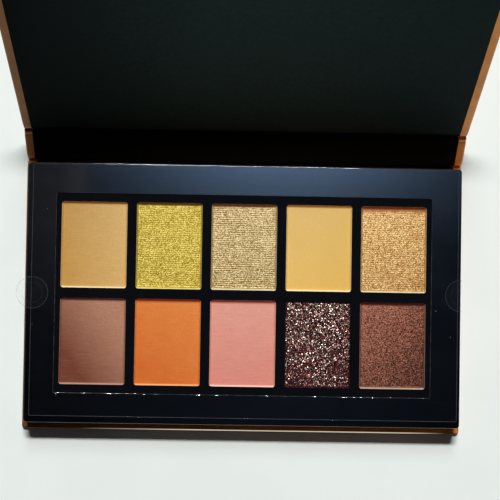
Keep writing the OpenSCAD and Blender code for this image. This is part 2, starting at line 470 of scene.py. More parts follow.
def adhesive_pad():
    s = Shader("adhesive_pad")
    grain = s.noise(1200, 3, 0.6)
    s.set(base_color=s.ramp(grain, (0.3, (0.62, 0.6, 0.55)), (0.7, (0.8, 0.79, 0.75))), roughness=0.6,
          normal=s.bump(grain, 0.00002, 0.5))
    return s.material


def clear_plastic(name, tone, alpha, cloud):
    """Thin clear film: what shows is its faint veil and its gloss."""
    s = Shader(name)
    haze = s.noise(cloud, 3, 0.6)
    veil = s.ramp(haze, (0.3, alpha * 0.7), (0.75, alpha * 1.2))
    s.set(base_color=s.ramp(haze, (0.3, tuple(0.8 * c for c in tone)), (0.7, tone)),
          roughness=0.06, ior=1.45, alpha=s.split(veil), normal=s.bump(haze, 0.0001, 0.3))
    return s.material


# ---------------------------------------------------------------- cover: boards in paper, and the two folds

COVER_BEVEL = 0.5 * MM
LINER_CORNER = 0.6 * MM
LINER_LIFT = 0.1 * MM
SPINE_BOARD_LEN = SPINE_SPAN.length - 2 * FOLD_GAP
# The paper's turned front edge stands out a little past the board
FRONT_ROLL = 0.45 * MM
BASE_FRONT = -FOLD_GAP - BASE_LEN - FRONT_ROLL
# The lid's liner leaves less paper bare at its front edge than at its sides
LID_LINER_START = FOLD_GAP + 0.3 * MM
LID_LINER_LEN = BASE_LEN - TURN_IN + 0.5 * MM

COPPER = copper_paper()
LID_BLACK = liner_paper("lid_liner_paper", (0.050, 0.090, 0.094))
# Painted shade: a much darker copy of the lid's liner paper, used on the spine, the folds and the base liner
SHADED_LINER_BLACK = liner_paper("spine_liner_paper_shaded", (0.008, 0.0115, 0.0125))


def paper_panel(name, place, start, length, body, node):
    """One board in its paper: a slab with soft edges and corners."""
    outline = rounded_outline(-COVER_W / 2, COVER_W / 2, start, start + length, COVER_CORNER)
    mesh = card_mesh(name, [outline], -COVER_T / 2, COVER_T / 2, COVER_BEVEL, 4)
    mesh.transform(place)
    add_object(name, mesh, COPPER, body, [node], "copper_paper")


def liner_panel(name, place, start, length, body, node, material):
    """The black panel stuck inside a board."""
    outline = rounded_outline(-LINER_W / 2, LINER_W / 2, start, start + length, LINER_CORNER)
    mesh = card_mesh(name, [outline], COVER_T / 2 - 0.05 * MM, COVER_T / 2 + LINER_LIFT, 0.04 * MM, 1)
    mesh.transform(place)
    add_object(name, mesh, material, body, [node], "black_liner")


paper_panel("base_cover", ON_BASE, BASE_FRONT, BASE_LEN + FRONT_ROLL, "base", "base_wrap")
paper_panel("spine_cover", ON_SPINE, FOLD_GAP, SPINE_BOARD_LEN, "spine", "spine_wrap")
paper_panel("lid_cover", ON_LID, FOLD_GAP, BASE_LEN, "lid", "lid_wrap")
liner_panel("spine_lining", ON_SPINE, FOLD_GAP, SPINE_BOARD_LEN, "spine", "spine_liner", SHADED_LINER_BLACK)
liner_panel("lid_lining", ON_LID, LID_LINER_START, LID_LINER_LEN, "lid", "lid_liner", LID_BLACK)


def painted_highlight_paper():
    """A painted, glowing highlight: a pale beige colour and a faint glow along the edge, but for its two
    ends.
    """
    s = Shader("front_edge_painted_highlight")
    edge_grain = s.noise(300, 4, 0.6, stretch=(0.3, 1.0, 1.0))
    highlight_tone = s.ramp(edge_grain, (0.3, (0.74, 0.68, 0.54)), (0.7, (0.92, 0.88, 0.74)))
    # Painted highlight: the pale colour and the glow fade out towards both ends of the edge
    highlight_mask = s.across((0.13, 0.0), (0.38, 1.0), (0.88, 1.0), (0.97, 0.0))
    s.set(base_color=s.mix(highlight_mask, (0.20, 0.075, 0.02), highlight_tone), metallic=0.85, roughness=0.4,
          emission_color=s.mix(highlight_mask, (0.0, 0.0, 0.0), (0.50, 0.42, 0.31)), emission_strength=0.9,
          normal=s.bump(edge_grain, 0.00002, 0.4))
    return s.material


def front_edge():
    """A thin skin round the base board's front edge that carries a painted, glowing highlight."""
    reach = COVER_W / 2 - 1.5 * MM
    arc = [math.radians(18 + 70 * j / 8) for j in range(9)]
    middle_y = BASE_FRONT + COVER_BEVEL
    middle_z = COVER_T / 2 - COVER_BEVEL
    loops = []
    for x in (-reach, -0.5 * reach, 0.0, 0.5 * reach, reach):
        loop = []
        for r, angles in ((COVER_BEVEL + 0.04 * MM, arc), (COVER_BEVEL - 0.05 * MM, reversed(arc))):
            loop += [(x, middle_y - r * math.sin(a), middle_z + r * math.cos(a)) for a in angles]
        loops.append(loop)
    mesh = loop_stack_mesh("front_edge", loops)
    mesh.transform(ON_BASE)
    add_object("front_edge", mesh, painted_highlight_paper(), "base", [], "copper_paper")


front_edge()


def fold_section(fold, angle_before, bend, along, height):
    """A point of a bent fold: along and height are measured as if it lay flat."""
    turn = angle_before + bend * smoothstep(-FOLD_GAP, FOLD_GAP, along)
    spot = Matrix.Rotation(turn, 3, "X") @ Vector((0, along, height))
    return fold + spot


def fold_strip(name, fold, angle_before, bend, node, material, half_width, heights, slot):
    """Paper across one fold, bent between two bodies; heights give its underside and top at a distance."""
    reach = FOLD_GAP + 0.25 * MM
    steps = 36
    stations = []
    for k in range(steps + 1):
        along = -reach + 2 * reach * k / steps
        low, high = heights(along)
        stations.append((fold_section(fold, angle_before, bend, along, low),
                         fold_section(fold, angle_before, bend, along, high),
                         half_width - 0.45 * MM * valley(along)))
    piece = add_object(name, strip_solid(name, stations, 0.35 * MM), material, None, node, slot)
    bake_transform(piece)


def valley(along):
    """Depth of the pressed crease between two boards, 0 at the boards and 1 in the middle."""
    return 1 - smoothstep(0.1 * FOLD_GAP, 0.5 * FOLD_GAP, abs(along))


def paper_heights(along):
    deep = valley(along)
    outside = -COVER_T / 2 + 0.02 * MM + 0.2 * MM * deep
    inside = COVER_T / 2 - 0.03 * MM - (COVER_T - 0.75 * MM) * deep
    return outside, inside


def lining_heights(along):
    inside = paper_heights(along)[1]
    return inside - 0.05 * MM, inside + 0.11 * MM


FOLDS = (("lower_fold", LOWER_FOLD, 0.0, SPINE_ANGLE, ("base", "spine")),
         ("upper_fold", UPPER_FOLD, SPINE_ANGLE, LID_BEND, ("spine", "lid")))
for fold_name, fold, angle_before, bend, bodies in FOLDS:
    fold_strip(fold_name + "_paper", fold, angle_before, bend, [fold_name], COPPER,
               COVER_W / 2 - 0.05 * MM, paper_heights, "copper_paper")
    fold_strip(fold_name + "_lining", fold, angle_before, bend, [], SHADED_LINER_BLACK,
               LINER_W / 2, lining_heights, "black_liner")


# ---------------------------------------------------------------- tray: side wrap, pan card and glossy border

def ring_loop(size, r, inset, z):
    return [(x, y, z) for x, y in centred_outline(size, r, inset=inset)]


def tray_side_wrap():
    size = (TRAY_HIGH - TRAY_LOW).xy
    z0, z1 = TRAY_LOW.z, TRAY_HIGH.z
    profile = ((0.0, z0), (0.0, z1 - 0.5 * MM), (0.05 * MM, z1 - 0.2 * MM), (0.14 * MM, z1 - 0.04 * MM),
               (0.19 * MM, z1), (0.25 * MM, z1 - 0.02 * MM), (0.25 * MM, z0))
    loops = [ring_loop(size, TRAY_CORNER, inset, z) for inset, z in profile]
    mesh = loop_stack_mesh("tray_side_wrap", loops, closed=True)
    add_object("tray_side_wrap", mesh, COPPER, "base", ["tray_wrap"], "copper_paper")


def pan_card():
    outlines = [centred_outline((PLATE_HIGH - PLATE_LOW).xy, CARD_CORNER)]
    for i in range(1, 11):
        middle = centre_of(f"pan_{i}")
        outlines.append(centred_outline(WINDOW, WINDOW_CORNER, middle.xy))
    mesh = card_mesh("pan_card", outlines, PLATE_LOW.z, PLATE_HIGH.z - 0.01 * MM, 0.1 * MM)
    add_object("pan_card", mesh, plate_black(), "base", ["pan_plate"], "pan_plate")


def glossy_border():
    """The shiny frame; a hair of the side wrap shows along its left edge."""
    left = BORDER_LOW.x + 0.35 * MM
    rim = rounded_outline(left, BORDER_HIGH.x, BORDER_LOW.y, BORDER_HIGH.y, CARD_CORNER)
    mesh = card_mesh("glossy_border", [rim, centred_outline(OPENING, OPENING_CORNER)],
                     BORDER_LOW.z, BORDER_HIGH.z, 0.14 * MM, 4)
    add_object("glossy_border", mesh, glossy_black(), "base", ["border_panel"], "border_panel")


def cut_card():
    s = Shader("cut_edge")
    patch = s.noise(500, 4, 0.7)
    s.set(base_color=s.ramp(patch, (0.42, (0.012, 0.012, 0.014)), (0.75, (0.075, 0.08, 0.085))),
          roughness=0.6, specular_ior_level=0.2, normal=s.bump(patch, 0.00003, 0.6))
    return s.material


def cut_edge():
    """The pale cut edge of the border's opening, uneven as a knife leaves it."""
    z = BORDER_HIGH.z

    def wobble(point, depth):
        return depth * (0.5 + noise.noise(Vector((point[0], point[1], depth)) * 900))

    corners = centred_outline(OPENING, OPENING_CORNER)
    points = []
    for a, b in zip(corners, corners[1:] + corners[:1]):
        steps = max(1, round((Vector(b) - Vector(a)).length / (0.6 * MM)))
        points += [tuple(Vector(a).lerp(Vector(b), k / steps)) for k in range(steps)]

    def moved(inset, height, uneven):
        loop = []
        for x, y in points:
            out = Vector((x / OPENING.x, y / OPENING.y)).normalized()
            shift = inset + wobble((x, y), uneven)
            loop.append((x + out.x * shift, y + out.y * shift, height))
        return loop

    loops = [moved(-0.02 * MM, z - 0.3 * MM, 0), moved(-0.02 * MM, z - 0.06 * MM, 0.02 * MM),
             moved(0.03 * MM, z + 0.012 * MM, 0.04 * MM), moved(0.09 * MM, z + 0.008 * MM, 0.10 * MM),
             moved(0.10 * MM, z - 0.1 * MM, 0.10 * MM)]
    mesh = loop_stack_mesh("border_cut_edge", loops, closed=True)
    add_object("border_cut_edge", mesh, cut_card(), "base", [], "border_panel")


tray_side_wrap()
pan_card()
glossy_border()
cut_edge()


# ---------------------------------------------------------------- powders

POWDER_WELL = 0.45 * MM
ROW_PITCH = 0.7 * MM
POWDER_LIP = 0.85 * MM
SIDE_REACH = 0.4 * MM
END_REACH = 0.75 * MM


def edge_distance(x, y, half_x, half_y, r):
    """How far a point lies inside a rounded rectangle."""
    qx, qy = abs(x) - (half_x - r), abs(y) - (half_y - r)
    outside = math.hypot(max(qx, 0), max(qy, 0)) + min(max(qx, qy), 0) - r
    return max(-outside, 0)


def round_corner(x, y, half_x, half_y, r):
    """Moves a point of a square-cornered grid so that the grid's corners become round."""
    dx, dy = abs(x) - (half_x - r), abs(y) - (half_y - r)
    if dx <= 0 or dy <= 0:
        return x, y
    new_dx = dx * math.sqrt(1 - dy * dy / (2 * r * r))
    new_dy = dy * math.sqrt(1 - dx * dx / (2 * r * r))
    return math.copysign(half_x - r + new_dx, x), math.copysign(half_y - r + new_dy, y)


def grid_lines(half, step):
    """Grid places across a pan: close together at its edges and even between them."""
    edge = [k * MM for k in (0.0, 0.06, 0.12, 0.19, 0.27, 0.36, 0.48)]
    inner = half - edge[-1]
    count = max(2, round(2 * inner / step))
    return [-half + e for e in edge[:-1]] + [-inner + 2 * inner * k / count for k in range(count + 1)] + \
           [half - e for e in reversed(edge[:-1])]


def close_below(vertices, faces, nx, ny, low_z):
    """Walls and a flat floor under a net of nx by ny points; returns how many points they add."""
    rim = list(range(nx)) + [j * nx + nx - 1 for j in range(1, ny)]
    rim += [(ny - 1) * nx + i for i in range(nx - 2, -1, -1)] + [j * nx for j in range(ny - 2, 0, -1)]
    start = len(vertices)
    vertices.extend((vertices[i][0], vertices[i][1], low_z) for i in rim)
    n = len(rim)
    faces.extend((rim[k], start + k, start + (k + 1) % n, rim[(k + 1) % n]) for k in range(n))
    faces.append(tuple(range(start, start + n)))
    return n


def powder_mesh(name, middle, low_z, top_z, step, relief, lean):
    """Pressed powder: a sunk face with the press cloth's relief, and a lip up the window's edge.

    Attributes keep what the material needs: the distance from the window's edge and from its back
    edge in millimetres, and how far a point lies towards the side that a painted sheen makes paler.
    """
    half_x, half_y = WINDOW.x / 2 - 0.015 * MM, WINDOW.y / 2 - 0.015 * MM
    r = WINDOW_CORNER
    xs, ys = grid_lines(half_x, step[0]), grid_lines(half_y, step[1])
    floor_z = top_z - POWDER_WELL
    vertices, edge_mm, back_mm, pale = [], [], [], []
    for y in ys:
        for x in xs:
            px, py = round_corner(x, y, half_x, half_y, r)
            inside = edge_distance(px, py, half_x, half_y, r)
            climb = max(0.0, 1 - (half_x - abs(px)) / SIDE_REACH, 1 - (half_y - abs(py)) / END_REACH)
            uneven = 0.9 + 0.25 * noise.noise(Vector((px + middle.x, py + middle.y, 0)) * 700)
            relief_z = relief(px + middle.x, py + middle.y) * (1 - 0.8 * climb)
            height = floor_z + POWDER_LIP * climb ** 1.25 * uneven + relief_z
            vertices.append((middle.x + px, middle.y + py, height))
            edge_mm.append(inside / MM)
            back_mm.append((half_y - py) / MM)
            pale.append(0.5 + 0.5 * (px / half_x * lean[0] + py / half_y * lean[1]))
    nx, ny = len(xs), len(ys)
    faces = [(j * nx + i, j * nx + i + 1, (j + 1) * nx + i + 1, (j + 1) * nx + i)
             for j in range(ny - 1) for i in range(nx - 1)]
    added = close_below(vertices, faces, nx, ny, low_z)
    mesh = mesh_from(name, vertices, faces)
    for label, values in (("edge_mm", edge_mm), ("back_mm", back_mm), ("pale", pale)):
        attribute = mesh.attributes.new(label, "FLOAT", "POINT")
        attribute.data.foreach_set("value", values + [0.0] * added)
    smooth_by_angle(mesh, 50)
    return mesh


def brushed_relief(x, y):
    """Fine level lines that a ribbed press cloth leaves."""
    lines = noise.noise(Vector((x * 260, y * 1900, 0)))
    return 0.014 * MM * lines + 0.010 * MM * noise.noise(Vector((x, y, 0)) * 300)


def grainy_relief(x, y):
    """Fine grain of a shimmer powder."""
    grain = noise.cell(Vector((x * 4300, y * 4300, 0.5)))
    return 0.005 * MM * grain + 0.014 * MM * noise.noise(Vector((x, y, 1)) * 300)


def woven_relief(x, y):
    """Level rows that a coarse press cloth leaves in a shimmer powder."""
    row = math.sin(math.tau * y / ROW_PITCH + 1.2 * noise.noise(Vector((x, y, 3)) * 150))
    return 0.012 * MM * row + grainy_relief(x, y)


def smooth_relief(x, y):
    fine = noise.noise(Vector((x, y, 7)) * 1300)
    return 0.01 * MM * fine + 0.014 * MM * noise.noise(Vector((x, y, 2)) * 300)


def tinted(color, gain):
    return tuple(min(1.0, c * g) for c, g in zip(color, gain))


# The band of painted shade at a powder's back never reaches this far in, in millimetres
BAND_SPAN = 2.5


def with_edges(s, face, lip, shade, deep, back_reach=0.85):
    """Paints light and shade on the powder's border: a painted highlight on a pale lip at the front and
    sides, painted shade deeper inside the border, and a dark band of painted shade at the back (mm wide).
    """
    edge = s.attribute("edge_mm")
    back = s.attribute("back_mm")
    front = s.math("SUBTRACT", WINDOW.y / MM, back)
    # Painted shade: the colour deepens within a millimetre of the window's wall
    ring = s.mix(s.ramp(edge, (0.25, 0.3), (1.0, 0.0)), face, deep)
    reach = back_reach / BAND_SPAN
    # Painted shade: the dark band along the back edge
    band = s.ramp(s.math("DIVIDE", back, BAND_SPAN), (0.04, 0.3), (0.12, 1.0),
                  (0.6 * reach, 0.9), (reach, 0.35), (1.35 * reach, 0.0))
    backed = s.mix(band, ring, shade)
    # Painted highlight: the pale lip along the front edge, and thinly along the sides
    side = s.times(s.ramp(edge, (0.12, 0.6), (0.3, 0.0)), s.ramp(back, (0.3, 0.2), (0.6, 1.0)))
    pale = s.math("MAXIMUM", side, s.ramp(front, (0.35, 1.0), (0.65, 0.0)))
    return s.mix(pale, backed, lip)


def matte_powder(name, dark, light, lip, shade, streaks=0.5, satin=0.0, patches=0.3, back_reach=0.85):
    """dark and light are the two ends of the pan's tone, from its deeper to its paler corner; the pan is made
    paler towards one side as a painted sheen, with random blotches over it.
    """
    s = Shader(name)
    ribs = s.noise(3400, 3, 0.6, stretch=(0.07, 1.0, 1.0))
    grain = s.noise(5200, 3, 0.7)
    blotch = s.times(s.plus(s.noise(150, 3, 0.5), -0.5), patches)
    drift = s.plus(s.attribute("pale"), blotch)
    body = s.mix(s.ramp(drift, (0.05, 0.0), (0.95, 1.0)), dark, light)
    ribbed = s.mix(s.ramp(ribs, (0.35, 0.22 * streaks), (0.52, 0.0)), body, tinted(dark, (0.8, 0.74, 0.66)))
    ribbed = s.mix(s.ramp(ribs, (0.5, 0.0), (0.7, 0.3 * streaks)), ribbed, tinted(light, (1.15, 1.2, 1.3)))
    grained = s.mix(s.ramp(grain, (0.4, 0.42), (0.56, 0.0)), ribbed, tinted(dark, (0.8, 0.72, 0.65)))
    edged = with_edges(s, grained, lip, shade, tinted(dark, (0.95, 0.80, 0.62)), back_reach)
    first = s.bump(ribs, 0.00004, streaks)
    s.set(base_color=edged, roughness=0.8 - 0.25 * satin, specular_ior_level=0.1 + 0.2 * satin,
          metallic=0.3 * satin, normal=s.bump(grain, 0.00003, 0.6, first))
    return s.material


def shimmer_powder(name, dark, middle, light, lip, shade, rows=0.0, red=None, gloss=0.42, lean_gain=0.22,
                   back_reach=0.85, size=4400):
    """rows is how strong the level rows are; red is a deeper colour that shows in patches; lean_gain is how
    strongly a painted sheen makes the pan paler towards one side.
    """
    s = Shader(name)
    pick = s.split(s.cells(size, "Color", stretch=(0.85, 1.15, 1.0)))
    finer = s.split(s.cells(size * 1.4, "Color"), "Blue")
    patch = s.times(s.plus(s.noise(170, 4, 0.6), -0.5), 0.9)
    # Painted sheen: paler towards one side of the pan, with random patches over it
    lean = s.plus(s.plus(patch, s.attribute("pale")), -0.5)
    tone = s.plus(s.times(pick, 0.75), s.times(finer, 0.25))
    tone = s.plus(tone, s.times(lean, lean_gain))
    if rows:
        tone = s.plus(tone, s.times(s.rows(ROW_PITCH), rows))
    face = s.ramp(tone, (0.2, dark), (0.5, middle), (0.82, light))
    if red:
        face = s.mix(s.ramp(s.noise(230, 4, 0.65), (0.55, 0.0), (0.75, 0.6)), face, red)
    edged = with_edges(s, face, lip, shade, tinted(middle, (0.9, 0.72, 0.5)), back_reach)
    tilt = s.bump(pick, 0.00003, 0.4)
    s.set(base_color=edged, metallic=0.35, roughness=s.ramp(finer, (0.1, gloss * 0.8), (0.9, gloss * 1.3)),
          specular_ior_level=0.1, normal=s.bump(finer, 0.00002, 0.4, tilt))
    return s.material


def glitter_base():
    s = Shader("powder_burgundy_glitter")
    pick = s.split(s.cells(2900, "Color"))
    shade = s.ramp(pick, (0.25, (0.004, 0.0008, 0.001)), (0.6, (0.022, 0.003, 0.003)),
                   (0.93, (0.14, 0.028, 0.026)))
    s.set(base_color=shade, metallic=0.1, roughness=s.ramp(pick, (0.2, 0.7), (0.9, 0.5)),
          specular_ior_level=0.1, normal=s.bump(pick, 0.0001, 0.8))
    return s.material


FINE = (0.42, 0.2)
GRAINY = (0.25, 0.22)
# Each row: the powder's node, its relief, its grid step in mm, its lean (the direction of its painted sheen),
# and its material
POWDERS = (
    ("powder_1_tan", brushed_relief, FINE, (0.8, 0.3),
     lambda: matte_powder("powder_tan", (0.55, 0.295, 0.074), (0.75, 0.495, 0.20), (0.95, 0.74, 0.42),
                          (0.30, 0.105, 0.018), streaks=0.35)),
    ("powder_2_chartreuse", woven_relief, GRAINY, (0.1, 0.2),
     lambda: shimmer_powder("powder_chartreuse", (0.20, 0.125, 0.005), (0.45, 0.32, 0.037),
                            (0.82, 0.67, 0.17), (1.0, 0.84, 0.30), (0.20, 0.060, 0.004), rows=0.15)),
    ("powder_3_champagne", woven_relief, GRAINY, (0.1, 0.4),
     lambda: shimmer_powder("powder_champagne", (0.14, 0.075, 0.015), (0.41, 0.27, 0.095),
                            (0.84, 0.70, 0.40), (1.0, 0.92, 0.62), (0.22, 0.060, 0.012),
                            rows=0.22, back_reach=1.15)),
    ("powder_4_honey", smooth_relief, FINE, (-0.3, 0.6),
     lambda: matte_powder("powder_honey", (0.77, 0.475, 0.115), (0.86, 0.585, 0.215), (1.0, 0.82, 0.46),
                          (0.50, 0.17, 0.03), streaks=0.0)),
    ("powder_5_bronze", grainy_relief, GRAINY, (-0.2, 0.5),
     lambda: shimmer_powder("powder_bronze", (0.16, 0.052, 0.008), (0.47, 0.225, 0.058),
                            (1.0, 0.76, 0.36), (1.0, 0.90, 0.58), (0.27, 0.055, 0.010),
                            red=(0.40, 0.14, 0.035), back_reach=1.8, rows=0.10, size=5400)),
    ("powder_6_rosewood", brushed_relief, FINE, (0.8, 0.75),
     lambda: matte_powder("powder_rosewood", (0.165, 0.042, 0.019), (0.50, 0.245, 0.155), (0.55, 0.32, 0.23),
                          (0.09, 0.015, 0.010), satin=0.4, streaks=0.35, patches=0.12, back_reach=1.0)),
    ("powder_7_orange", brushed_relief, FINE, (0.4, 0.7),
     lambda: matte_powder("powder_orange", (0.65, 0.145, 0.023), (0.79, 0.26, 0.062), (0.92, 0.46, 0.19),
                          (0.28, 0.030, 0.004), streaks=0.4, patches=0.5, back_reach=1.1)),
    ("powder_8_coral", brushed_relief, FINE, (0.0, 0.8),
     lambda: matte_powder("powder_coral", (0.70, 0.25, 0.20), (0.79, 0.375, 0.30), (0.95, 0.62, 0.54),
                          (0.28, 0.038, 0.022), streaks=0.6, back_reach=1.1)),
    ("powder_9_burgundy_glitter", grainy_relief, GRAINY, (0.0, 0.0), glitter_base),
    ("powder_10_cocoa", grainy_relief, GRAINY, (-0.8, 0.9),
     lambda: shimmer_powder("powder_cocoa", (0.034, 0.008, 0.004), (0.080, 0.021, 0.0115),
                            (0.50, 0.195, 0.125), (0.75, 0.50, 0.38), (0.10, 0.016, 0.010),
                            lean_gain=0.2, back_reach=1.1, rows=0.03, size=5400)),
)

for node, relief, step, lean, make_material in POWDERS:
    low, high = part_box(node)
    spacing = (step[0] * MM, step[1] * MM)
    mesh = powder_mesh("pressed_" + node, centre_of(node), low.z, high.z, spacing, relief, lean)
    add_object("pressed_" + node, mesh, make_material(), "base", [node], node)


FLAKE_TRIES = 5600
FLAKE_SIDES = 6
FLAKE_T = 0.02 * MM


def glitter_flake():
    """Dark flakes, pink ones, and near-white and gold ones whose pale colour is a painted glint, picked by
    each flake's own shade.
    """
    s = Shader("glitter_flake")
    color = s.ramp(s.attribute("flake_shade"), (0.0, (0.012, 0.002, 0.002)), (0.5, (0.09, 0.010, 0.012)),
                   (0.62, (0.90, 0.24, 0.20)), (0.74, (1.0, 0.90, 0.84)), (0.97, (1.0, 0.84, 0.60)))
    s.set(base_color=color, metallic=0.6, roughness=s.ramp(s.noise(3000), (0.3, 0.30), (0.7, 0.42)))
    return s.material


def add_flake(vertices, faces, centre, turn, radius):
    n = FLAKE_SIDES
    start = len(vertices)
    for side in (0, 1):
        for k in range(n):
            a = math.tau * k / n
            spot = Vector((radius * math.cos(a), radius * math.sin(a), FLAKE_T * side))
            vertices.append(centre + turn @ spot)
    faces.append(tuple(start + n - 1 - k for k in range(n)))
    faces.append(tuple(start + n + k for k in range(n)))
    faces.extend((start + k, start + (k + 1) % n, start + n + (k + 1) % n, start + n + k) for k in range(n))


def glitter_flakes():
    """Loose-lying flakes on the burgundy powder, each at its own tilt, the brighter ones on top."""
    rng = random.Random(9)
    middle = centre_of("powder_9_burgundy_glitter")
    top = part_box("powder_9_burgundy_glitter")[1].z - POWDER_WELL
    half_x, half_y = WINDOW.x / 2 - 0.35 * MM, WINDOW.y / 2 - 0.35 * MM
    vertices, faces, shade = [], [], []
    for _ in range(FLAKE_TRIES):
        x, y = rng.uniform(-half_x, half_x), rng.uniform(-half_y, half_y)
        if edge_distance(x, y, half_x, half_y, WINDOW_CORNER) < 0.02 * MM:
            continue
        radius = rng.uniform(0.08, 0.15) * MM
        turn = Matrix.Rotation(rng.uniform(0, math.tau), 3, "Z") @ Matrix.Rotation(rng.gauss(0, 0.42), 3, "X")
        # Painted sheen: flakes with the pale, painted glint colour grow more common towards the back and
        # along the middle
        bright = 0.90 + 0.12 * y / half_y + 0.10 * math.exp(-(x / (5 * MM)) ** 2)
        tone = min(1.0, rng.random() * bright)
        lift = grainy_relief(middle.x + x, middle.y + y) + (0.04 + 0.08 * tone) * MM
        add_flake(vertices, faces, Vector((middle.x + x, middle.y + y, top + lift)), turn, radius)
        shade += [tone] * 2 * FLAKE_SIDES
    mesh = bpy.data.meshes.new("glitter_flakes")
    mesh.from_pydata([tuple(v) for v in vertices], [], faces)
    attribute = mesh.attributes.new("flake_shade", "FLOAT", "POINT")
    attribute.data.foreach_set("value", shade)
    add_object("glitter_flakes", mesh, glitter_flake(), "base", [], "powder_9_burgundy_glitter")


glitter_flakes()


# ---------------------------------------------------------------- clear film and seals

FILM_SIZE = (FILM_HIGH - FILM_LOW).xy
FILM_MIDDLE = ((FILM_HIGH + FILM_LOW) / 2).xy
FILM_CORNER = 0.4 * MM


def film():
    sheet = centred_outline(FILM_SIZE, FILM_CORNER, FILM_MIDDLE)
    mesh = card_mesh("film_sheet", [sheet], FILM_LOW.z, FILM_HIGH.z, 0.03 * MM, 2)
    clear = clear_plastic("clear_film", (0.05, 0.06, 0.08), 0.015, 60)
    add_object("film_sheet", mesh, clear, "film", ["protective_film"], "clear_film")
    # Painted highlight: a pale band along the top of the film's rim stands for the light that its cut edge
    # catches
    rim = [sheet, centred_outline(FILM_SIZE, FILM_CORNER, FILM_MIDDLE, inset=0.12 * MM)]
    edge = card_mesh("film_edge", rim, FILM_LOW.z + 0.01 * MM, FILM_HIGH.z + 0.015 * MM, 0.03 * MM, 2)
    pale = clear_plastic("film_edge_painted_highlight", (0.16, 0.18, 0.20), 0.3, 240)
    add_object("film_edge", edge, pale, "film", [], "clear_film")


def seal_section(u, v, z, fold_at):
    """A point of a flat seal, bent down past its fold line; fold_at None leaves it flat."""
    if fold_at is None or u <= fold_at:
        return Vector((u, v, z))
    bend_r = 0.12 * MM
    past = u - fold_at
    arc = bend_r * math.pi / 2
    angle = min(past, arc) / bend_r
    reach = bend_r + z
    spot = Vector((fold_at + reach * math.sin(angle), v, -bend_r + reach * math.cos(angle)))
    if past > arc:
        spot.z -= past - arc
    return spot


def seal_mesh(name, rings, thickness, centre, fold_at, sides=64):
    """A round seal from ring radii; the underside is the same net, one thickness lower."""
    vertices, faces = [], []
    for z in (thickness, 0.0):
        vertices.append(centre + seal_section(0, 0, z, fold_at))
        for radius in rings:
            for k in range(sides):
                a = math.tau * k / sides
                vertices.append(centre + seal_section(radius * math.cos(a), radius * math.sin(a), z, fold_at))
    layer = 1 + sides * len(rings)
    for base in (0, layer):
        faces += [(base, base + 1 + k, base + 1 + (k + 1) % sides) for k in range(sides)]
        for ring in range(len(rings) - 1):
            a, b = base + 1 + ring * sides, base + 1 + (ring + 1) * sides
            faces += [(a + k, b + k, b + (k + 1) % sides, a + (k + 1) % sides) for k in range(sides)]
    outer = 1 + (len(rings) - 1) * sides
    faces += [(outer + k, layer + outer + k, layer + outer + (k + 1) % sides, outer + (k + 1) % sides)
              for k in range(sides)]
    mesh = mesh_from(name, vertices, faces)
    smooth_by_angle(mesh, 40)
    return mesh


def ring_band(name, inner, outer, thickness, centre, fold_at, sides=96):
    """A thin closed ring, such as a seal's cut rim, bent with it."""
    loops = []
    for radius, z in ((inner, 0.0), (inner, thickness), (outer, thickness), (outer, 0.0)):
        loops.append([centre + seal_section(radius * math.cos(math.tau * k / sides),
                                            radius * math.sin(math.tau * k / sides), z, fold_at)
                      for k in range(sides)])
    return loop_stack_mesh(name, loops, closed=True)


def seals():
    clear = clear_plastic("seal_clear", (0.10, 0.12, 0.14), 0.018, 300)
    pale = clear_plastic("seal_rim", (0.16, 0.19, 0.23), 0.22, 400)
    faint = clear_plastic("seal_inner_ring", (0.13, 0.16, 0.20), 0.07, 400)
    radius = size_of("seal_left").x / 2
    thick = size_of("seal_left").z
    rings = [radius * k / 14 for k in range(1, 15)]
    left = centre_of("seal_left")
    left.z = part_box("seal_left")[0].z
    right_low, right_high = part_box("seal_right")
    right = Vector((TRAY_HIGH.x, (right_low.y + right_high.y) / 2, left.z))
    for side, centre, fold_at in (("left", left, None), ("right", right, -0.03 * MM)):
        disc = seal_mesh(f"{side}_seal", rings, thick * 0.8, centre, fold_at)
        add_object(f"{side}_seal", disc, clear, "film", [f"seal_{side}"], "seal_film")
        for label, inner, outer, look in (("rim", radius - 0.13 * MM, radius, pale),
                                          ("inner_ring", radius * 0.62, radius * 0.65, faint)):
            band = ring_band(f"{side}_seal_{label}", inner, outer, thick, centre, fold_at)
            add_object(f"{side}_seal_{label}", band, look, "film", [], "seal_film")


film()
seals()


# ---------------------------------------------------------------- CAD pieces that keep their own shape

GREYBOARD = greyboard()
NICKEL = metal("magnet_nickel", (0.62, 0.60, 0.57), 0.3)
PAN_METAL = metal("pan_aluminium", (0.75, 0.75, 0.77), 0.35)
KEPT = {
    "base_board": GREYBOARD, "spine_board": GREYBOARD, "lid_board": GREYBOARD,
    "tray_floor": GREYBOARD, "tray_walls": GREYBOARD, "base_liner": SHADED_LINER_BLACK,
    "lid_magnet_left": NICKEL, "lid_magnet_right": NICKEL,
    "tray_magnet_left": NICKEL, "tray_magnet_right": NICKEL,
    "tray_core": core_foam(), "pan_adhesive": adhesive_pad(),
}
KEPT.update({f"pan_{i}": PAN_METAL for i in range(1, 11)})
for node, material in KEPT.items():
    for material_slot in frame["nodes"][node].material_slots:
        material_slot.material = material


# ---------------------------------------------------------------- floor, light and camera

TABLE_REACH = 4.0


